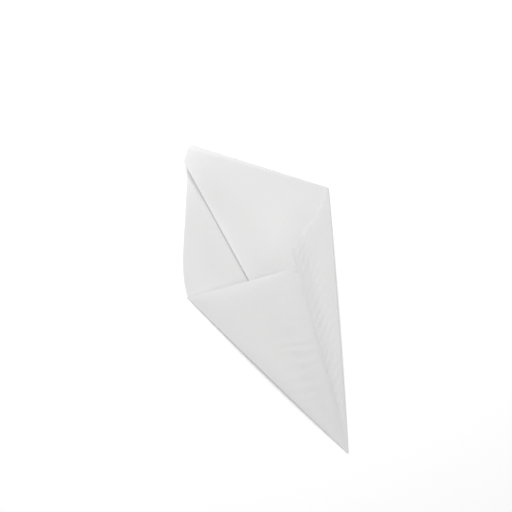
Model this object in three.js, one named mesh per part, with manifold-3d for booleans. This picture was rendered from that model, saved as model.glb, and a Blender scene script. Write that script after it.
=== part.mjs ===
// A pointed paper bag: one sheet of white paper, folded at both sides, glued along a side strip,
// with its flap rolled over the top and tucked into the mouth.
// Millimetres, +Z up. The bag lies on its back panel with its tip towards -Y.

import * as THREE from 'three';
import Module from 'manifold-3d';

const degree = Math.PI / 180;

// The paper
const paper = 0.12;
const paperColour = 0xf3f3f2;

// The two side folds, which meet at the tip
const apexAngle = 41.6 * degree;
const longFold = 265;
const tipCut = 2;

// The seam: its strip lies over a hidden lap of the front panel, and the mouth is square to it
const stripAngle = 11 * degree;
const lapAngle = 7 * degree;
const seamLength = 192;
const stripCornerReach = 211;
const glueBite = 0.03;

// The top fold, from the long fold's end to the bag's peak, is a roll that tightens to the right
const topFold = 144;
const topFoldTurn = 111.5 * degree;
const rollRadiusAtPeak = 6.5;
const rollRadiusAtCorner = 0.6;
const cornerRelief = 1.5;

// The flap, measured from the top fold's crest
const flapShoulder = 18.4;
const flapSlant = 44 * degree;
const flapReach = 140;
const flapLift = 2.5 * degree;
const flapClearance = 1.1;

// How far the bag stands open
const gapAtTip = 0.4;
const gapGrowth = 0.004;
const puff = 0.065;
const cutEdgeBulge = 4.7;

// How finely each part of the sheet is divided
const stepsAlong = 5;
const foldSteps = 8;
const frontSteps = 20;
const lapSteps = 5;
const stripSteps = 4;
const cutEdgeSteps = 10;
const columns = 20;
const rollSteps = 10;
const flapSteps = 12;

// Directions in plan, by their angle from +Y towards +X
const ray = (angle) => new THREE.Vector3(Math.sin(angle), Math.cos(angle), 0);
const across = (angle) => new THREE.Vector3(Math.cos(angle), -Math.sin(angle), 0);
const angleOf = (vector) => Math.atan2(vector.x, vector.y);
const mix = THREE.MathUtils.lerp;
const spread = (steps, start, end) => Array.from({ length: steps + 1 }, (_, i) => mix(start, end, i / steps));

const halfApex = apexAngle / 2;
const seamShare = 1 - stripAngle / apexAngle;
const lapShare = seamShare + lapAngle / apexAngle;
const stripStep = paper - glueBite;
const sideSlope = Math.atan(puff * Math.PI / apexAngle);
const sideTurn = Math.PI - sideSlope;

// Every fold and panel of the cone is made of straight rulings that run up from the tip
const pointOn = (ruling, distance) => ruling.from.clone().addScaledVector(ruling.along, distance);

// A ruling of a side fold, where the sheet has turned by this angle from flat on the floor
function foldRuling(side, turn) {
  const outward = across(side * halfApex).multiplyScalar(side);
  const bend = (gap) => outward.clone()
    .multiplyScalar(Math.sin(turn) - 1)
    .setZ(1 - Math.cos(turn))
    .multiplyScalar(gap / (1 + Math.cos(sideSlope)));
  const from = bend(side > 0 ? gapAtTip + stripStep : gapAtTip);
  from.z += paper / 2;
  const along = ray(side * halfApex).add(bend(gapGrowth));
  return { from, along };
}

// A ruling of the front panel or the strip, with share 0 at the left fold and 1 at the right one
function frontRuling(share, lift) {
  const left = foldRuling(-1, sideTurn);
  const right = foldRuling(1, sideTurn);
  const from = left.from.clone().lerp(right.from, share);
  from.z = paper / 2 + gapAtTip + lift;
  const along = ray(mix(angleOf(left.along), angleOf(right.along), share));
  along.z = gapGrowth + puff * Math.sin(Math.PI * share);
  return { from, along };
}

// Height of the flap's middle surface inside the bag, over a point in plan. It follows the front panel
// to the right of its crown, and left of it stays as high as under the crown.
function flapHeight(point) {
  const share = THREE.MathUtils.clamp((angleOf(point) + halfApex) / apexAngle, 0.5, 1);
  const distance = Math.hypot(point.x, point.y);
  const front = paper / 2 + gapAtTip + distance * (gapGrowth + puff * Math.sin(Math.PI * share));
  return front - paper - flapClearance;
}

// How far up a ruling it meets a line in plan, given by a point and a direction square to the line
function reachOf(ruling, point, square) {
  return point.clone().sub(ruling.from).dot(square) / ruling.along.dot(square);
}

const seamDirection = ray(mix(-halfApex, halfApex, seamShare));
const mouthPoint = seamDirection.clone().multiplyScalar(seamLength);
const stripCorner = seamDirection.clone().multiplyScalar(stripCornerReach);

// The top fold's crest, and the two directions that the flap is measured in
const crestAngle = halfApex + topFoldTurn - Math.PI;
const corner = ray(halfApex).multiplyScalar(longFold);
const peak = corner.clone().addScaledVector(ray(crestAngle), topFold);
const rightward = ray(crestAngle).negate();
const downward = across(crestAngle).negate();
const rollRadius = (column) => mix(rollRadiusAtPeak, rollRadiusAtCorner, column / topFold);

const onFlap = (column, down, height) => peak.clone()
  .addScaledVector(rightward, column)
  .addScaledVector(downward, down)
  .setZ(height);

// One column of the flap: round the roll, up over the back panel, then down inside the mouth
function flapColumn(column) {
  const radius = rollRadius(column);
  const rollTurn = Math.PI - flapLift;
  const roll = spread(rollSteps, 0, rollTurn).map((turn) => onFlap(
    column,
    radius * (1 - Math.sin(turn)),
    paper / 2 + radius * (1 - Math.cos(turn)),
  ));

  const start = radius * (1 - Math.sin(rollTurn));
  const startHeight = roll[rollSteps].z;
  const inside = (down) => flapHeight(onFlap(column, down, 0));
  const mouth = mouthPoint.clone().sub(onFlap(column, 0, 0)).dot(seamDirection) / downward.dot(seamDirection);
  const mouthSlope = inside(mouth + 1) - inside(mouth);
  const run = mouth - start;
  const bow = (share) => (
    startHeight * (1 + 2 * share) * (1 - share) ** 2
    + run * Math.tan(flapLift) * share * (1 - share) ** 2
    + inside(mouth) * share ** 2 * (3 - 2 * share)
    + run * mouthSlope * share ** 2 * (share - 1)
  );

  const end = Math.min(flapShoulder + column * Math.tan(flapSlant), flapReach);
  const panel = spread(flapSteps, start, end).slice(1).map((down) => {
    const share = (down - start) / run;
    return onFlap(column, down, share < 1 ? bow(share) : inside(down));
  });
  return [...roll, ...panel];
}

// A sheet of paper as rows of points, each row joined to the next
class Sheet {
  constructor() {
    this.points = [];
    this.triangles = [];
  }

  addRow(points) {
    return points.map((point) => this.points.push(point) - 1);
  }

  join(row, next) {
    for (let i = 0; i + 1 < row.length; i += 1) {
      this.triangles.push([row[i], row[i + 1], next[i + 1]]);
      this.triangles.push([row[i], next[i + 1], next[i]]);
    }
  }

  addRulings(rulings) {
    const rows = rulings.map(([foot, head]) => this.addRow(
      spread(stepsAlong, 0, 1).map((share) => foot.clone().lerp(head, share)),
    ));
    rows.slice(1).forEach((row, i) => this.join(rows[i], row));
    return rows;
  }

  // The closed solid with half the paper's thickness on each side of the sheet
  thicken() {
    const middle = new THREE.BufferGeometry().setFromPoints(this.points);
    middle.setIndex(this.triangles.flat());
    middle.computeVertexNormals();
    const normals = middle.getAttribute('normal');
    const offset = (side) => this.points.map((point, i) => (
      point.clone().addScaledVector(new THREE.Vector3().fromBufferAttribute(normals, i), side * paper / 2)
    ));

    const count = this.points.length;
    const used = new Set(this.triangles.flatMap(([a, b, c]) => [`${a} ${b}`, `${b} ${c}`, `${c} ${a}`]));
    const rim = [];
    for (const edge of used) {
      const [a, b] = edge.split(' ').map(Number);
      if (!used.has(`${b} ${a}`)) {
        rim.push([b, a, a + count], [b, a + count, b + count]);
      }
    }
    const underside = this.triangles.map(([a, b, c]) => [a + count, c + count, b + count]);
    return solidFrom([...offset(1), ...offset(-1)], [...this.triangles, ...underside, ...rim]);
  }
}

const wasm = await Module();
wasm.setup();

function solidFrom(points, triangles) {
  return new wasm.Manifold(new wasm.Mesh({
    numProp: 3,
    vertProperties: new Float32Array(points.flatMap((point) => point.toArray())),
    triVerts: new Uint32Array(triangles.flat()),
  }));
}

const tipToReach = (ruling, reach) => [pointOn(ruling, tipCut), pointOn(ruling, reach)];
const tipToMouth = (ruling) => tipToReach(ruling, reachOf(ruling, mouthPoint, seamDirection));

// The back panel's outline: its cut edge up to the roll, then the line where the roll begins
const leftEdge = foldRuling(-1, 0);
const rightEdge = foldRuling(1, 0);
const leftReach = reachOf(frontRuling(0, 0), mouthPoint, seamDirection);
const rollStart = onFlap(0, rollRadiusAtPeak, paper / 2);
const rollEnd = onFlap(topFold, rollRadiusAtCorner, paper / 2);
const rollSquare = rollEnd.clone().sub(rollStart).cross(new THREE.Vector3(0, 0, 1));
const rightReach = reachOf(rightEdge, rollStart, rollSquare);
const leftHead = pointOn(leftEdge, leftReach).setZ(paper / 2);
const rightHead = pointOn(rightEdge, rightReach).setZ(paper / 2);

const cutEdge = rollStart.clone().sub(leftHead);
const cutEdgeOut = new THREE.Vector3(-cutEdge.y, cutEdge.x, 0).normalize();
const cutEdgePoint = (share) => leftHead.clone()
  .addScaledVector(cutEdge, share)
  .addScaledVector(cutEdgeOut, cutEdgeBulge * Math.sin(Math.PI * Math.sqrt(share)) ** 2);

// A ruling of the back panel, from the cut tip to a point on that outline
const leftFoot = pointOn(leftEdge, tipCut);
const rightFoot = pointOn(rightEdge, tipCut);
function backRuling(head) {
  const share = (angleOf(head) - angleOf(leftHead)) / (angleOf(rightHead) - angleOf(leftHead));
  return [leftFoot.clone().lerp(rightFoot, share), head];
}

// The front half: hidden lap, front panel, left fold and the left of the back panel
const cutEdgeHeads = spread(cutEdgeSteps, 0, 1).map(cutEdgePoint);
const frontShares = [...spread(lapSteps, lapShare, seamShare), ...spread(frontSteps, seamShare, 0).slice(1)];
const frontHalf = new Sheet();
frontHalf.addRulings([
  ...frontShares.map((share) => tipToMouth(frontRuling(share, 0))),
  ...spread(foldSteps, sideTurn, 0).slice(1).map((turn) => tipToReach(foldRuling(-1, turn), leftReach)),
  ...cutEdgeHeads.slice(1, -1).map(backRuling),
]);

// The rear half: the rest of the back panel, right fold, strip and flap
const lastColumn = topFold - cornerRelief;
const bluntColumn = (flapReach - flapShoulder) / Math.tan(flapSlant);
const columnPlaces = [
  ...spread(columns, 0, bluntColumn),
  ...spread(2, bluntColumn, lastColumn).slice(1),
];
const rearHalf = new Sheet();
const backRows = rearHalf.addRulings([
  backRuling(cutEdgeHeads[cutEdgeSteps - 1]),
  ...columnPlaces.map((column) => backRuling(onFlap(column, rollRadius(column), paper / 2))),
  ...spread(foldSteps, 0, sideTurn).map((turn) => tipToReach(foldRuling(1, turn), rightReach)),
]);

const stripHead = pointOn(frontRuling(1, stripStep), rightReach);
const stripTop = stripCorner.clone().sub(stripHead).cross(new THREE.Vector3(0, 0, 1)).setZ(0);
const stripShares = [...spread(stripSteps, 1, lapShare).slice(1), ...spread(lapSteps, lapShare, seamShare).slice(1)];
const stripRows = rearHalf.addRulings(stripShares.map((share) => {
  const ruling = frontRuling(share, stripStep);
  return tipToReach(ruling, reachOf(ruling, stripHead, stripTop));
}));
rearHalf.join(backRows[backRows.length - 1], stripRows[0]);

const flapRows = columnPlaces.map((column, i) => {
  const hinge = backRows[i + 1][stepsAlong];
  return [hinge, ...rearHalf.addRow(flapColumn(column).slice(1))];
});
flapRows.slice(1).forEach((row, i) => rearHalf.join(flapRows[i], row));

// The whole bag, with its origin under the middle of its length and width
const bag = frontHalf.thicken().add(rearHalf.thicken()).getMesh();
const geometry = new THREE.BufferGeometry();
geometry.setAttribute('position', new THREE.BufferAttribute(bag.vertProperties, 3));
geometry.setIndex(new THREE.BufferAttribute(bag.triVerts, 1));
geometry.computeBoundingBox();
const centre = geometry.boundingBox.getCenter(new THREE.Vector3());
geometry.translate(-centre.x, -centre.y, -geometry.boundingBox.min.z);
geometry.computeVertexNormals();

const paperBag = new THREE.Mesh(
  geometry,
  new THREE.MeshStandardMaterial({ color: paperColour, roughness: 0.85, metalness: 0 }),
);
paperBag.name = 'paper_bag';

const part = new THREE.Group();
part.name = 'paper_cone_bag';
part.add(paperBag);

export default part;
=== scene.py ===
# %% [markdown]
# # A pointed paper bag
# The bag is one sheet of thin white paper. Both sides are folded to a point, a strip along the right
# side is glued down over the front, and the top flap is rolled over and tucked into the mouth.
# It lies on a white table and is seen from straight above.
#
# This file makes the paper again as a finer sheet than the solid model holds, with the small waves
# that glue and handling leave in it. Then it adds the paper finish, the table, the light and the camera.

import math

import bmesh
import bpy
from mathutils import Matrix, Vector, noise


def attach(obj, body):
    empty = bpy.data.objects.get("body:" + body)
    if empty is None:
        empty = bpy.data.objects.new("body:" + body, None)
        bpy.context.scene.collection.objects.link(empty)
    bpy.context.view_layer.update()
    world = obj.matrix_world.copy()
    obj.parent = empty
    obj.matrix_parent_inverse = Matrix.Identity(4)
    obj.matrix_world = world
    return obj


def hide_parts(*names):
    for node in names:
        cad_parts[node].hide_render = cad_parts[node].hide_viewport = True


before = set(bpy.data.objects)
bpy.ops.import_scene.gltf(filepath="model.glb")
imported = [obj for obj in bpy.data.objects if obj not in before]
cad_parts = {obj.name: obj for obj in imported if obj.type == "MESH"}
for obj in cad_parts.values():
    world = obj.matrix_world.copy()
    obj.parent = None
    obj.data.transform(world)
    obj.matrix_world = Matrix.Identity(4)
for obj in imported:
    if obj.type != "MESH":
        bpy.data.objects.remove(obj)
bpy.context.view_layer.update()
scene = bpy.context.scene

# %% [markdown]
# ## The sizes of the bag
# These are the sizes that a maker would set, in millimetres and degrees. A cone bag is measured from
# its tip: the two folds meet there, and each panel is a wedge of the sheet. The folds and outlines
# below are worked out from these sizes, so the sheet fits the solid model, which has the same ones.

# %% Sizes of the folded sheet
PAPER = 0.12
APEX = math.radians(41.6)
LONG_FOLD = 265
TIP_CUT = 2
STRIP_ANGLE = math.radians(11)
LAP_ANGLE = math.radians(7)
SEAM = 192
STRIP_CORNER = 211
GLUE_BITE = 0.03

TOP_FOLD = 144
TOP_FOLD_TURN = math.radians(111.5)
ROLL_AT_PEAK = 6.5
ROLL_AT_CORNER = 0.6
CORNER_RELIEF = 1.5
FLAP_SHOULDER = 18.4
FLAP_SLANT = math.radians(44)
FLAP_REACH = 140
FLAP_LIFT = math.radians(2.5)
FLAP_CLEARANCE = 1.1

# The gap between back and front, and how much it grows with each millimetre from the tip: at the
# side folds, and on top of that at the crown half way between them.
GAP_AT_TIP = 0.4
GAP_GROWTH = 0.004
PUFF = 0.065
CROWN = 0.5

CUT_EDGE_BULGE = 4.7
print("apex", round(math.degrees(APEX), 1), "degrees, long fold", LONG_FOLD, "mm, seam", SEAM, "mm")

# %% [markdown]
# ## Directions and rulings
# Paper bends but doesn't stretch, so a folded cone is made of straight lines that run up from its tip.
# They are called rulings. One ruling is a starting point and a direction, and a panel is a fan of them.
# Building the sheet from rulings keeps every crease straight, which a sculpted mesh would not.

# %% Directions in plan, and a ruling's points
HALF = APEX / 2
SEAM_SHARE = 1 - STRIP_ANGLE / APEX
LAP_SHARE = SEAM_SHARE + LAP_ANGLE / APEX
STRIP_STEP = PAPER - GLUE_BITE
SIDE_SLOPE = math.atan(PUFF * math.pi / APEX)
SIDE_TURN = math.pi - SIDE_SLOPE


def mix(start, end, share):
    return start + (end - start) * share


def spread(steps, start, end):
    return [mix(start, end, i / steps) for i in range(steps + 1)]


def ray(angle):
    return Vector((math.sin(angle), math.cos(angle), 0))


def across(angle):
    return Vector((math.cos(angle), -math.sin(angle), 0))


def angle_of(vector):
    return math.atan2(vector.x, vector.y)


def point_on(ruling, distance):
    start, along = ruling
    return start + along * distance


def reach_of(ruling, point, square):
    start, along = ruling
    return (point - start).dot(square) / along.dot(square)


print("in plan the right fold runs along", [round(v, 3) for v in ray(HALF)])

# %% [markdown]
# ## Folds that are round
# A side fold in paper that isn't pressed hard is half a turn of the sheet. A knife-sharp edge would
# look like sheet metal. So a fold is a fan of rulings too, one for each angle that the sheet has turned
# through. The front runs from the left fold's last ruling to the right one's and rises to a low crown.

# %% Rulings of the side folds and of the front
def fold_ruling(side, turn):
    """A side fold where the sheet has turned by this angle from flat on the table."""
    sideways = across(side * HALF) * side * (math.sin(turn) - 1)
    bend = (sideways + Vector((0, 0, 1 - math.cos(turn)))) / (1 + math.cos(SIDE_SLOPE))
    gap = GAP_AT_TIP + (STRIP_STEP if side > 0 else 0)
    return bend * gap + Vector((0, 0, PAPER / 2)), ray(side * HALF) + bend * GAP_GROWTH


def front_ruling(share, lift):
    """A ruling of the front or the strip, with share 0 at the left fold and 1 at the right one."""
    left_start, left_along = fold_ruling(-1, SIDE_TURN)
    right_start, right_along = fold_ruling(1, SIDE_TURN)
    start = left_start.lerp(right_start, share)
    start.z = PAPER / 2 + GAP_AT_TIP + lift
    along = ray(mix(angle_of(left_along), angle_of(right_along), share))
    along.z = GAP_GROWTH + PUFF * math.sin(math.pi * share)
    return start, along


SEAM_RAY = ray(mix(-HALF, HALF, SEAM_SHARE))
SEAM_SIDE = across(mix(-HALF, HALF, SEAM_SHARE))
MOUTH = SEAM_RAY * SEAM
print("front rises", round(math.degrees(SIDE_SLOPE), 1), "degrees from each side fold")

# %% [markdown]
# ## The flap
# The flap hangs from the top fold. It isn't creased there but rolled, loosely at the peak and tightly at
# the right corner, so its section is an arc that shrinks along the fold. After the roll it crosses the
# open back panel and slips under the front's edge. One column of points per step along the fold, bent by
# a smooth curve from the roll to the mouth, gives the whole flap. Modelling it flat and bending it with
# a modifier would be quicker, but then it wouldn't meet the roll and the mouth at the right slope.

# %% The top fold's crest and roll
CREST = HALF + TOP_FOLD_TURN - math.pi
CORNER = ray(HALF) * LONG_FOLD
PEAK = CORNER + ray(CREST) * TOP_FOLD
RIGHTWARD = -ray(CREST)
DOWNWARD = -across(CREST)
ROLL_STEPS = 14
PANEL_STEPS = 84
SLOPE_STEP = 1


def roll_radius(column):
    return mix(ROLL_AT_PEAK, ROLL_AT_CORNER, column / TOP_FOLD)


def on_flap(column, down, height):
    return PEAK + RIGHTWARD * column + DOWNWARD * down + Vector((0, 0, height))


def flap_height(point):
    """The flap's height inside the bag: just under the front, and level to the left of its crown."""
    share = min(max((angle_of(point) + HALF) / APEX, CROWN), 1)
    distance = point.xy.length
    front = PAPER / 2 + GAP_AT_TIP + distance * (GAP_GROWTH + PUFF * math.sin(math.pi * share))
    return front - PAPER - FLAP_CLEARANCE


def flap_column(column):
    """One column of the flap: round the roll, then in a smooth curve to the mouth and on inside."""
    radius = roll_radius(column)
    turns = spread(ROLL_STEPS, 0, math.pi - FLAP_LIFT)
    roll = [
        on_flap(column, radius * (1 - math.sin(turn)), PAPER / 2 + radius * (1 - math.cos(turn)))
        for turn in turns
    ]

    start = radius * (1 - math.sin(turns[-1]))
    start_height = roll[-1].z
    mouth = (MOUTH - on_flap(column, 0, 0)).dot(SEAM_RAY) / DOWNWARD.dot(SEAM_RAY)
    mouth_height = flap_height(on_flap(column, mouth, 0))
    beyond_height = flap_height(on_flap(column, mouth + SLOPE_STEP, 0))
    mouth_slope = (beyond_height - mouth_height) / SLOPE_STEP
    run = mouth - start
    end = min(FLAP_SHOULDER + column * math.tan(FLAP_SLANT), FLAP_REACH)

    panel = []
    for down in spread(PANEL_STEPS, start, end)[1:]:
        share = (down - start) / run
        if share < 1:
            height = (
                start_height * (1 + 2 * share) * (1 - share) ** 2
                + run * math.tan(FLAP_LIFT) * share * (1 - share) ** 2
                + mouth_height * share ** 2 * (3 - 2 * share)
                + run * mouth_slope * share ** 2 * (share - 1)
            )
        else:
            height = flap_height(on_flap(column, down, 0))
        panel.append(on_flap(column, down, height))
    return roll + panel


print("peak at", [round(v, 1) for v in PEAK], "mm from the tip")

# %% [markdown]
# ## The sheet as rows of points
# A sheet is a list of points and faces. Each row is a ruling with the same number of points, and is
# joined to the next with four-sided faces. Each point also keeps which panel it is on, because the
# waves that come later differ from panel to panel. Even faces take those waves without kinks.

# %% A sheet that grows row by row
class Sheet:
    def __init__(self):
        self.points = []
        self.layers = []
        self.faces = []

    def add_row(self, points, layer):
        first = len(self.points)
        self.points += points
        self.layers += [layer] * len(points)
        return list(range(first, first + len(points)))

    def join(self, row, after):
        for i in range(len(row) - 1):
            self.faces.append((row[i], row[i + 1], after[i + 1], after[i]))


ALONG = 120
sheet = Sheet()


def add_rulings(ends, layer):
    rows = []
    for foot, head in ends:
        rows.append(sheet.add_row([foot.lerp(head, share) for share in spread(ALONG, 0, 1)], layer))
    for row, after in zip(rows, rows[1:]):
        sheet.join(row, after)
    return rows


def tip_to(ruling, reach):
    return point_on(ruling, TIP_CUT), point_on(ruling, reach)


print("each ruling has", ALONG + 1, "points")

# %% [markdown]
# ## Where the back panel ends
# The back ends in a cut edge on the left, which bows out a little, and in the top fold. The right fold
# is as long as the top fold's corner needs, and the left one reaches up to the mouth. These ends are
# found by crossing lines and aren't typed, so that neighbouring panels share their corners.

# %% The back panel's outline
left_reach = reach_of(front_ruling(0, 0), MOUTH, SEAM_RAY)
roll_start = on_flap(0, ROLL_AT_PEAK, PAPER / 2)
roll_end = on_flap(TOP_FOLD, ROLL_AT_CORNER, PAPER / 2)
roll_square = (roll_end - roll_start).cross(Vector((0, 0, 1)))
right_reach = reach_of(fold_ruling(1, 0), roll_start, roll_square)

left_foot, left_head = tip_to(fold_ruling(-1, 0), left_reach)
right_foot, right_head = tip_to(fold_ruling(1, 0), right_reach)
cut_edge = roll_start - left_head
cut_edge_out = Vector((-cut_edge.y, cut_edge.x, 0)).normalized()


def cut_edge_point(share):
    bulge = CUT_EDGE_BULGE * math.sin(math.pi * math.sqrt(share)) ** 2
    return left_head + cut_edge * share + cut_edge_out * bulge


def back_ruling(head):
    share = (angle_of(head) - angle_of(left_head)) / (angle_of(right_head) - angle_of(left_head))
    foot = left_foot.lerp(right_foot, share)
    foot.z = head.z = PAPER / 2
    return foot, head


print("left fold", round(left_reach, 1), "mm, cut edge", round(cut_edge.length, 1), "mm")

# %% [markdown]
# ## Round the cone
# The panels and folds follow each other round the cone in one chain of rows, from the lap that is hidden
# under the strip, through the front, the left fold, the back and the right fold, to the strip's free
# edge. The flap starts at the back panel's top row and shares its points, so the paper is whole. The
# paper is one object for that reason: panels joined from several would show a seam at every fold.

# %% Where the strip and the flap's columns end
LAP, FRONT, FOLD, BACK, STRIP, FLAP = range(6)
STRIP_DIP = 4
DIP_WIDTH = 0.16
SLANTED_COLUMNS = 60
BLUNT_COLUMNS = 8


def tip_to_mouth(share):
    ruling = front_ruling(share, 0)
    return tip_to(ruling, reach_of(ruling, MOUTH, SEAM_RAY))


strip_head = point_on(front_ruling(1, STRIP_STEP), right_reach)
strip_top = (SEAM_RAY * STRIP_CORNER - strip_head).cross(Vector((0, 0, 1)))
strip_top.z = 0


def strip_ends(share):
    """The strip's top edge, which dips a little beside the right fold."""
    ruling = front_ruling(share, STRIP_STEP)
    dip = STRIP_DIP * math.sin(math.pi * min((1 - share) / DIP_WIDTH, 1)) ** 2
    return tip_to(ruling, reach_of(ruling, strip_head, strip_top) - dip)


blunt = (FLAP_REACH - FLAP_SHOULDER) / math.tan(FLAP_SLANT)
columns = spread(SLANTED_COLUMNS, 0, blunt)
columns += spread(BLUNT_COLUMNS, blunt, TOP_FOLD - CORNER_RELIEF)[1:]
print("flap of", len(columns), "columns, at its full length from", round(blunt, 1), "mm beside the peak")

# %% Rows round the cone, then the flap
LAP_STEPS = 14
FRONT_STEPS = 96
FOLD_STEPS = 10
EDGE_STEPS = 26
STRIP_STEPS = 32

lap_ends = [tip_to_mouth(share) for share in spread(LAP_STEPS, LAP_SHARE, SEAM_SHARE)]
front_ends = [tip_to_mouth(share) for share in spread(FRONT_STEPS, SEAM_SHARE, 0)[1:]]
left_ends = [tip_to(fold_ruling(-1, turn), left_reach) for turn in spread(FOLD_STEPS, SIDE_TURN, 0)[1:]]
edge_ends = [back_ruling(cut_edge_point(share)) for share in spread(EDGE_STEPS, 0, 1)[1:-1]]
back_ends = [back_ruling(on_flap(column, roll_radius(column), PAPER / 2)) for column in columns]
right_ends = [tip_to(fold_ruling(1, turn), right_reach) for turn in spread(FOLD_STEPS, 0, SIDE_TURN)]
side_strip_ends = [strip_ends(share) for share in spread(STRIP_STEPS, 1, SEAM_SHARE)[1:]]

front_side = [add_rulings(lap_ends, LAP), add_rulings(front_ends, FRONT), add_rulings(left_ends, FOLD)]
edge_rows = add_rulings(edge_ends, BACK)
back_rows = add_rulings(back_ends, BACK)
strip_side = [add_rulings(right_ends, FOLD), add_rulings(side_strip_ends, STRIP)]
chain = front_side + [edge_rows, back_rows] + strip_side
for rows, after in zip(chain, chain[1:]):
    sheet.join(rows[-1], after[0])

flap_rows = []
for column, back_row in zip(columns, back_rows):
    hinge = [back_row[-1]]
    flap_rows.append(hinge + sheet.add_row(flap_column(column)[1:], FLAP))
for row, after in zip(flap_rows, flap_rows[1:]):
    sheet.join(row, after)

lowest = Vector([min(point[i] for point in sheet.points) for i in range(3)])
highest = Vector([max(point[i] for point in sheet.points) for i in range(3)])
TIP = -(lowest + highest) / 2
TIP.z = 0
print(len(sheet.points), "points; tip at", [round(v, 1) for v in TIP], "mm in the part's frame")

# %% [markdown]
# ## Waves in the paper
# Wet glue makes paper swell and pucker, so short waves run out from the seam on both sides of it. Thin
# paper that was folded by hand also keeps a few broad, shallow waves. A bump in the finish would be
# quicker, but it leaves no shape in the exported mesh, so the points themselves move up and down. The
# measure along the seam says which wave a point is on, and the one across it how far it has died away.

# %% Waves beside the glued seam
STRIP_WAVE = 9.5
STRIP_WAVE_HEIGHT = 0.11
STRIP_WAVE_LEAN = 1.2
STRIP_WAVE_STARTS = (0, 3)
STRIP_WAVE_ENDS = (9, 30)
FRONT_WAVE = 12
FRONT_WAVE_HEIGHT = 0.13
FRONT_WAVE_LEAN = 0.1
FRONT_WAVE_STARTS = (1, 7)
FRONT_WAVE_ENDS = (18, 50)


def fade(value, start, end):
    """0 up to the start, 1 from the end on, and a smooth step in between."""
    share = min(max((value - start) / (end - start), 0), 1)
    return share * share * (3 - 2 * share)


def uneven(u, v, seed):
    """Smooth noise of about -1 to 1. A measure is divided by the length over which it should change."""
    return noise.noise(Vector((u, v, seed)))


def strip_pucker(along, side):
    """Narrow ridges that lean up and to the right, away from the seam."""
    leaning = along - side * STRIP_WAVE_LEAN + uneven(along / 16, side / 12, 3.1) * 4
    strength = 0.75 + 0.8 * uneven(along / 30, side / 14, 4.2)
    ridge = math.sin(leaning * math.tau / STRIP_WAVE) * strength * STRIP_WAVE_HEIGHT
    return ridge * fade(side, *STRIP_WAVE_STARTS) * (1 - fade(side, *STRIP_WAVE_ENDS))


def front_pucker(along, side):
    """Softer ridges that lie nearly level, and are strongest some way left of the seam."""
    leaning = along + side * FRONT_WAVE_LEAN + uneven(along / 15, side / 24, 9.4) * 7
    strength = 0.7 + 0.8 * uneven(along / 26, side / 22, 5.6)
    ridge = math.sin(leaning * math.tau / FRONT_WAVE) * strength * FRONT_WAVE_HEIGHT
    return ridge * fade(-side, *FRONT_WAVE_STARTS) * (1 - fade(-side, *FRONT_WAVE_ENDS))


print("puckers of", STRIP_WAVE, "mm on the strip and", FRONT_WAVE, "mm on the front")

# %% [markdown]
# ## Broad shapes
# The bag isn't pressed flat either. Both side folds spring up a little from the table, the left one
# most, which is why a soft shadow shows beside it. The glue draws up a low ridge along the seam, and
# the strip's free edge isn't quite straight. The front sags a little on its left, and its corner curls
# beside the strip. Each of these is a short formula of where a point lies in the bag, so it stays in
# place when a size changes, which a shape sculpted by hand would not.

# %% Broad shapes of the panels
LEFT_SPRING = 4.8
RIGHT_SPRING = 4
SEAM_RIDGE = 0.8
SEAM_SWAY = 1.7
EDGE_CURL = 0.8
CORNER_CURL = 1
FRONT_SAG = 1
SPRING_WIDTH = 0.45
RIGHT_SPRING_START = 0.8
RIDGE_LEFT = 40
RIDGE_RIGHT = 13
RIDGE_START = (10, 90)
FOLD_EDGE = 0.12
SAG_WIDTH = 0.65
SWAY_START = 60
SWAY_WAVER = 0.3
HAND_WAVE = 0.4


def arch(share):
    """0 at both ends and 1 in the middle."""
    return math.sin(math.pi * min(max(share, 0), 1))


def fold_share(point):
    """Where a point lies between the left fold, 0, and the right fold, 1."""
    return min(max((angle_of(point) + HALF) / APEX, 0), 1)


def side_spring(distance, share):
    left = LEFT_SPRING * arch(distance / left_reach) * (1 - fade(share, 0, SPRING_WIDTH))
    right = RIGHT_SPRING * arch(distance / right_reach) * fade(share, RIGHT_SPRING_START, 1)
    return left + right


def front_shift(point):
    """The broad rise or fall of the front and the strip."""
    along = point.dot(SEAM_RAY)
    side = point.dot(SEAM_SIDE)
    distance = point.xy.length
    share = fold_share(point)
    beside_seam = fade(side, -RIDGE_LEFT, 0) if side < 0 else 1 - fade(side, 0, RIDGE_RIGHT)
    ridge = SEAM_RIDGE * fade(along, *RIDGE_START) * beside_seam
    broad = HAND_WAVE * uneven(point.x / 50, point.y / 65, 2) * fade(distance, 30, 120)
    away_from_folds = fade(share, 0, FOLD_EDGE) * (1 - fade(share, 0.9, 1))
    sag = FRONT_SAG * arch(share / SAG_WIDTH) ** 1.5 * distance / SEAM
    return (ridge + broad) * away_from_folds - sag


def seam_sway(along):
    """How far the strip's free edge strays from a straight line."""
    bow = arch((along - SWAY_START) / (SEAM - SWAY_START))
    return -SEAM_SWAY * bow + SWAY_WAVER * uneven(along / 9, 0, 1.7)


def corner_curl(along, side):
    """A small dog-ear where the front's mouth edge meets the strip."""
    curled = fade(along + side * 0.55, SEAM - 8, SEAM - 1)
    return CORNER_CURL * curled * fade(side, -13, -6) * (1 - fade(side, -3, 0))


print("left fold springs up", LEFT_SPRING, "mm, right one", RIGHT_SPRING, "mm, seam ridge", SEAM_RIDGE, "mm")

# %% [markdown]
# ## How the flap lies
# A flap that was pushed in by hand keeps to the underside of the front, and its free edge drops towards
# the back panel, which swells to meet it. The gap between them decides how dark the shadow under that
# edge is. So both are measured from the edge, and fade out before they reach the roll or the mouth.

# %% Shapes round the flap
FLAP_DROOP = 4.2
FLAP_RISE = 0.5
BACK_BULGE = 4.2
DROOP_WIDTH = 45
BULGE_WIDTH = 38
CORNER_TUCK = 2.2


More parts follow.
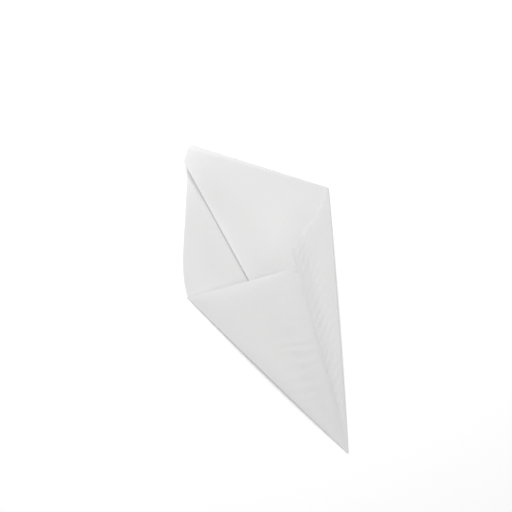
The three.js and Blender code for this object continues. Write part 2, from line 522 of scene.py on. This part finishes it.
def flap_place(point):
    """How far along the top fold, and down from it, a point is, and how far from the flap's free edge."""
    column = (point - PEAK).dot(RIGHTWARD)
    down = (point - PEAK).dot(DOWNWARD)
    to_free_edge = (FLAP_SHOULDER + column * math.tan(FLAP_SLANT) - down) * math.cos(FLAP_SLANT)
    return column, down, to_free_edge


def moved_flap(point):
    """The flap keeps close under the front, droops at its free edge and runs on under the strip."""
    column, down, to_free_edge = flap_place(point)
    tucked = CORNER_TUCK * fade(column, TOP_FOLD - 9, TOP_FOLD - CORNER_RELIEF) * fade(down, 0.5, 8)
    lift = (front_shift(point) + FLAP_RISE) * fade(down, 8, 90)
    lift -= FLAP_DROOP * (1 - fade(to_free_edge, 0, DROOP_WIDTH)) * fade(down, 8, 65)
    return point + RIGHTWARD * tucked + Vector((0, 0, lift))


def back_bulge(point):
    """The back panel rises a little under the flap's free edge."""
    column, down, to_free_edge = flap_place(point)
    beside_edge = 1 - fade(abs(to_free_edge), 0, BULGE_WIDTH)
    return BACK_BULGE * beside_edge * fade(down, 6, 42) * (1 - fade(down, 130, 190))


print("flap droops", FLAP_DROOP, "mm at its free edge, back rises", BACK_BULGE, "mm below it")

# %% [markdown]
# ## One place for all the movements
# Each point gets the movements of its own panel. The lap keeps below the strip that it carries, and the
# puckers fade out towards the folds and the tip, where the paper is pulled straight. Adding everything
# up in one function shows at a glance what a panel does, which a stack of modifiers would hide.

# %% Points moved by the waves and the broad shapes
STRIP_LIFT = 0.2
LAP_DROP = 0.4
SWAY_WIDTH = 22
# The next two numbers set painted shade: a darker band along the strip's free edge, darkest in the troughs
# between its puckers.
SEAM_SHADE = 0.7
TROUGH_SHADE = 3


def raised(point, layer):
    """A point of the straight folded sheet, moved to where it lies in the real one."""
    if layer == FLAP:
        return moved_flap(point)
    along = point.dot(SEAM_RAY)
    side = point.dot(SEAM_SIDE)
    moved = point.copy()
    share = fold_share(point)
    moved.z += side_spring(point.xy.length, share)
    if layer == BACK:
        moved.z += back_bulge(point)
    if layer in (LAP, FRONT, STRIP):
        pucker = strip_pucker(along, side) if side > 0 else front_pucker(along, side)
        away_from_folds = fade(share, 0, FOLD_EDGE) * (1 - fade(share, 0.93, 1))
        moved.z += pucker * fade(along, 14, 60) * away_from_folds + front_shift(point)
    if layer == LAP:
        moved.z -= LAP_DROP * fade(side, 0, 5) * fade(along, 10, 40)
    if layer == FRONT:
        moved.z += corner_curl(along, side)
    if layer == STRIP:
        moved += SEAM_SIDE * seam_sway(along) * (1 - fade(side, 0, SWAY_WIDTH))
        lift = STRIP_LIFT + EDGE_CURL * (1 - fade(side, 0, 3))
        moved.z += lift * fade(along, 20, 60) * (1 - fade(share, 0.9, 1))
    return moved


def seam_shade_at(point, layer):
    """How much painted shade the strip gets: most beside its free edge, and in the troughs between the
    ridges.
    """
    if layer != STRIP:
        return 0
    along = point.dot(SEAM_RAY)
    side = point.dot(SEAM_SIDE)
    streak = SEAM_SHADE - strip_pucker(along, side) * TROUGH_SHADE
    return streak * (1 - fade(side, 8, 17)) * fade(along, 30, 90)


# This prints the painted shade beside the strip's edge.
print("glue beside the strip's edge:", round(seam_shade_at(SEAM_RAY * 120 + SEAM_SIDE * 4, STRIP), 2))

# %% [markdown]
# ## The paper object
# The points go into one mesh in metres. A Solidify modifier then gives the sheet its thickness, half on
# each side, which is simpler than building both faces by hand. Its cut edges are split from the smooth
# faces, or the shading would run round them as if they were soft. The sheet takes the place of the solid
# model's node, and carries the name of the record's paper slot.

# %% Make the paper bag
MM = 0.001
CUT_EDGE_ANGLE = math.radians(60)

mesh = bpy.data.meshes.new("paper_sheet")
bag = bpy.data.objects.new("paper_sheet", mesh)
scene.collection.objects.link(bag)
mesh.from_pydata(
    [(raised(point, layer) + TIP) * MM for point, layer in zip(sheet.points, sheet.layers)],
    [],
    sheet.faces,
)

# The sheet's points carry painted shade: how much the finish darkens the strip along its free edge and in
# the troughs between its puckers.
painted_seam_shade = mesh.attributes.new("painted_seam_shade", "FLOAT", "POINT")
painted_seam_shade.data.foreach_set("value", [seam_shade_at(point, layer) for point, layer in zip(sheet.points, sheet.layers)])

tidy = bmesh.new()
tidy.from_mesh(mesh)
bmesh.ops.recalc_face_normals(tidy, faces=tidy.faces)
for face in tidy.faces:
    face.smooth = True
tidy.to_mesh(mesh)
tidy.free()

thickness = bag.modifiers.new("paper thickness", "SOLIDIFY")
thickness.thickness = PAPER * MM
thickness.offset = 0
crisp_edges = bag.modifiers.new("crisp cut edges", "EDGE_SPLIT")
crisp_edges.split_angle = CUT_EDGE_ANGLE

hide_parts("paper_bag")
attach(bag, "root")
print("paper sheet has", len(mesh.polygons), "faces")

# %% [markdown]
# ## A small language for shader maths
# Node trees are easier to read as sums. This class wraps one socket, and adds a Math node whenever two
# of them are added, subtracted or multiplied. The reflected forms let a plain number stand on the left,
# as in 1 - mask. Any other node comes from one function, which takes the node's type, its settings and
# then the values or links of its sockets.

# %% Sockets as values
class Socket:
    def __init__(self, tree, socket):
        self.tree = tree
        self.socket = socket

    def maths(self, operation, first, second):
        maths_node = add_node(self.tree, "ShaderNodeMath", {"operation": operation}, {0: first, 1: second})
        return maths_node["Value"]

    def __add__(self, other):
        return self.maths("ADD", self, other)

    def __mul__(self, other):
        return self.maths("MULTIPLY", self, other)

    def __sub__(self, other):
        return self.maths("SUBTRACT", self, other)

    def __rsub__(self, other):
        return self.maths("SUBTRACT", other, self)

    __radd__ = __add__
    __rmul__ = __mul__


class Node:
    def __init__(self, tree, node):
        self.tree = tree
        self.node = node

    def __getitem__(self, name_or_place):
        return Socket(self.tree, self.node.outputs[name_or_place])


def add_node(tree, kind, settings=None, inputs=None):
    node = tree.nodes.new(kind)
    for name, value in (settings or {}).items():
        setattr(node, name, value)
    for name, value in (inputs or {}).items():
        if isinstance(value, Socket):
            tree.links.new(value.socket, node.inputs[name])
        else:
            node.inputs[name].default_value = value
    return Node(tree, node)


def new_material(name):
    material = bpy.data.materials.new(name)
    material.use_nodes = True
    material.node_tree.nodes.clear()
    return material, material.node_tree


print("shader sockets can now be added, subtracted and multiplied")

# %% [markdown]
# ## The paper finish
# Bag paper is matt and very slightly cloudy, because its fibres lie in clumps, and close up it has a
# fine, felt-like grain. A picture of paper would do, but noise needs no file and never repeats. The
# clouds change the colour by a hair. Painted shade, kept on the points of the sheet, darkens the strip
# along its free edge and in the troughs between its puckers. Two scales of noise drive a faint bump. A
# little light also comes through such thin paper, so part of the shader is translucent. That part has
# one even tone, because only the main colour is kept as a pattern when the model is exported.

# %% White bag paper
DARKEST_PAPER = (0.855, 0.855, 0.853, 1)
LIGHTEST_PAPER = (0.915, 0.915, 0.914, 1)
MIDDLE_PAPER = (0.884, 0.884, 0.882, 1)
SHINING_THROUGH = 0.35
SEAM_SHADE_DARKENS = 0.4
CLOUDS_PER_METRE = 420.0
FIBRES_PER_METRE = 1500.0

# The Mix node has sockets of one name for numbers and for colours, so its colour sockets are called by
# their place.
MIX_FIRST_COLOUR = 6
MIX_SECOND_COLOUR = 7
MIX_COLOUR_RESULT = 2

paper_finish, tree = new_material("white_bag_paper")
place = add_node(tree, "ShaderNodeTexCoord")["Object"]
clouds = add_node(
    tree,
    "ShaderNodeTexNoise",
    {},
    {"Vector": place, "Scale": CLOUDS_PER_METRE, "Detail": 5.0, "Roughness": 0.65},
)["Fac"]
fibres = add_node(
    tree,
    "ShaderNodeTexNoise",
    {},
    {"Vector": place, "Scale": FIBRES_PER_METRE, "Detail": 4.0, "Roughness": 0.7},
)["Fac"]
# Painted shade: the paper colour is darker along the strip's free edge and in the troughs between its
# puckers.
painted_shade_amount = add_node(tree, "ShaderNodeAttribute", {"attribute_name": "painted_seam_shade"})["Fac"]
lightness = clouds - painted_shade_amount * SEAM_SHADE_DARKENS
colour = add_node(
    tree,
    "ShaderNodeMix",
    {"data_type": "RGBA"},
    {"Factor": lightness, MIX_FIRST_COLOUR: DARKEST_PAPER, MIX_SECOND_COLOUR: LIGHTEST_PAPER},
)[MIX_COLOUR_RESULT]
grain = clouds * 0.35 + fibres * 0.65
bump = add_node(
    tree, "ShaderNodeBump", {}, {"Height": grain, "Strength": 0.12, "Distance": 0.06 * MM}
)["Normal"]
reflected = add_node(
    tree,
    "ShaderNodeBsdfPrincipled",
    {},
    {"Base Color": colour, "Roughness": 0.78, "Specular IOR Level": 0.3, "Normal": bump},
)["BSDF"]
passed = add_node(tree, "ShaderNodeBsdfTranslucent", {}, {"Color": MIDDLE_PAPER, "Normal": bump})["BSDF"]
paper = add_node(tree, "ShaderNodeMixShader", {}, {0: SHINING_THROUGH, 1: reflected, 2: passed})["Shader"]
add_node(tree, "ShaderNodeOutputMaterial", {}, {"Surface": paper})
mesh.materials.append(paper_finish)
print("paper finish has", len(tree.nodes), "nodes")

# %% [markdown]
# ## The table
# The photograph is a plain product shot on a white table that is lit until it is pure white. A table a
# good deal larger than the picture is enough. It lies a hair below the paper, or the two would flicker
# where they touch. It is no part of the bag.

# %% White table
TABLE = 1.6
TABLE_DROP = Vector((0, 0, 0.0002))

table_mesh = bpy.data.meshes.new("table")
table = bpy.data.objects.new("table", table_mesh)
scene.collection.objects.link(table)
corners = [(-TABLE, -TABLE, 0), (TABLE, -TABLE, 0), (TABLE, TABLE, 0), (-TABLE, TABLE, 0)]
table_mesh.from_pydata([Vector(corner) - TABLE_DROP for corner in corners], [], [(0, 1, 2, 3)])

table_finish, tree = new_material("white_table")
surface = add_node(
    tree,
    "ShaderNodeBsdfPrincipled",
    {},
    {"Base Color": (0.97, 0.97, 0.97, 1), "Roughness": 0.9, "Specular IOR Level": 0.1},
)
add_node(tree, "ShaderNodeOutputMaterial", {}, {"Surface": surface["BSDF"]})
table_mesh.materials.append(table_finish)
print("table of", TABLE * 2, "m")

# %% [markdown]
# ## The camera
# The camera looks straight down and is turned, because the bag lies askew in the picture. The picture
# is 512 pixels wide and one pixel is about one millimetre of the table. So the camera is placed by the
# pixel that the bag's tip has, which fits better than a placing by eye. A long lens keeps the top fold,
# which is nearer, from looking larger than it is.

# %% Camera straight above, turned as the picture is
IMAGE = 512
PIXEL = 0.99 * MM
TIP_PIXEL = Vector((348.7, 454.4))
PICTURE_TURN = math.radians(25.1)

image_right = Vector((math.cos(PICTURE_TURN), -math.sin(PICTURE_TURN), 0))
image_up = Vector((math.sin(PICTURE_TURN), math.cos(PICTURE_TURN), 0))
tip_to_middle = Vector((IMAGE / 2 - TIP_PIXEL.x, TIP_PIXEL.y - IMAGE / 2)) * PIXEL
look_at = TIP * MM + image_right * tip_to_middle.x + image_up * tip_to_middle.y

camera_data = bpy.data.cameras.new("camera")
camera_data.lens = 100
camera_data.sensor_width = 36
camera = bpy.data.objects.new("camera", camera_data)
scene.collection.objects.link(camera)
camera.location = look_at + Vector((0, 0, IMAGE * PIXEL * camera_data.lens / camera_data.sensor_width))
camera.rotation_euler = (0, 0, -PICTURE_TURN)
scene.camera = camera
print("camera", round(camera.location.z, 3), "m above the table")

# %% [markdown]
# ## The light
# The shading is faint: the flap is a little brighter than the front, and a shadow lies along the left
# fold. That asks for a large soft light at the picture's top, a weaker one overhead and a white world
# that fills the rest. A hard lamp would draw sharp shadows, which the photograph doesn't have. The
# plain view transform keeps white white.

# %% Soft lights
WORLD_STRENGTH = 0.375


def area_light(name, place, size, power):
    data = bpy.data.lights.new(name, "AREA")
    data.shape = "SQUARE"
    data.size = size
    data.energy = power
    light = bpy.data.objects.new(name, data)
    scene.collection.objects.link(light)
    light.location = look_at + place
    light.rotation_euler = (-place).to_track_quat("-Z", "Y").to_euler()
    print(name, "light of", power, "W,", round(place.length, 2), "m away")


area_light("key", image_up * 0.85 - image_right * 0.22 + Vector((0, 0, 1.34)), size=1.0, power=22.6)
area_light("overhead", image_up * -0.45 + Vector((0, 0, 1.8)), size=1.4, power=5)

world = bpy.data.worlds.new("studio")
world.use_nodes = True
background = world.node_tree.nodes["Background"]
background.inputs["Color"].default_value = (1, 1, 1, 1)
background.inputs["Strength"].default_value = WORLD_STRENGTH
scene.world = world
scene.view_settings.view_transform = "Standard"
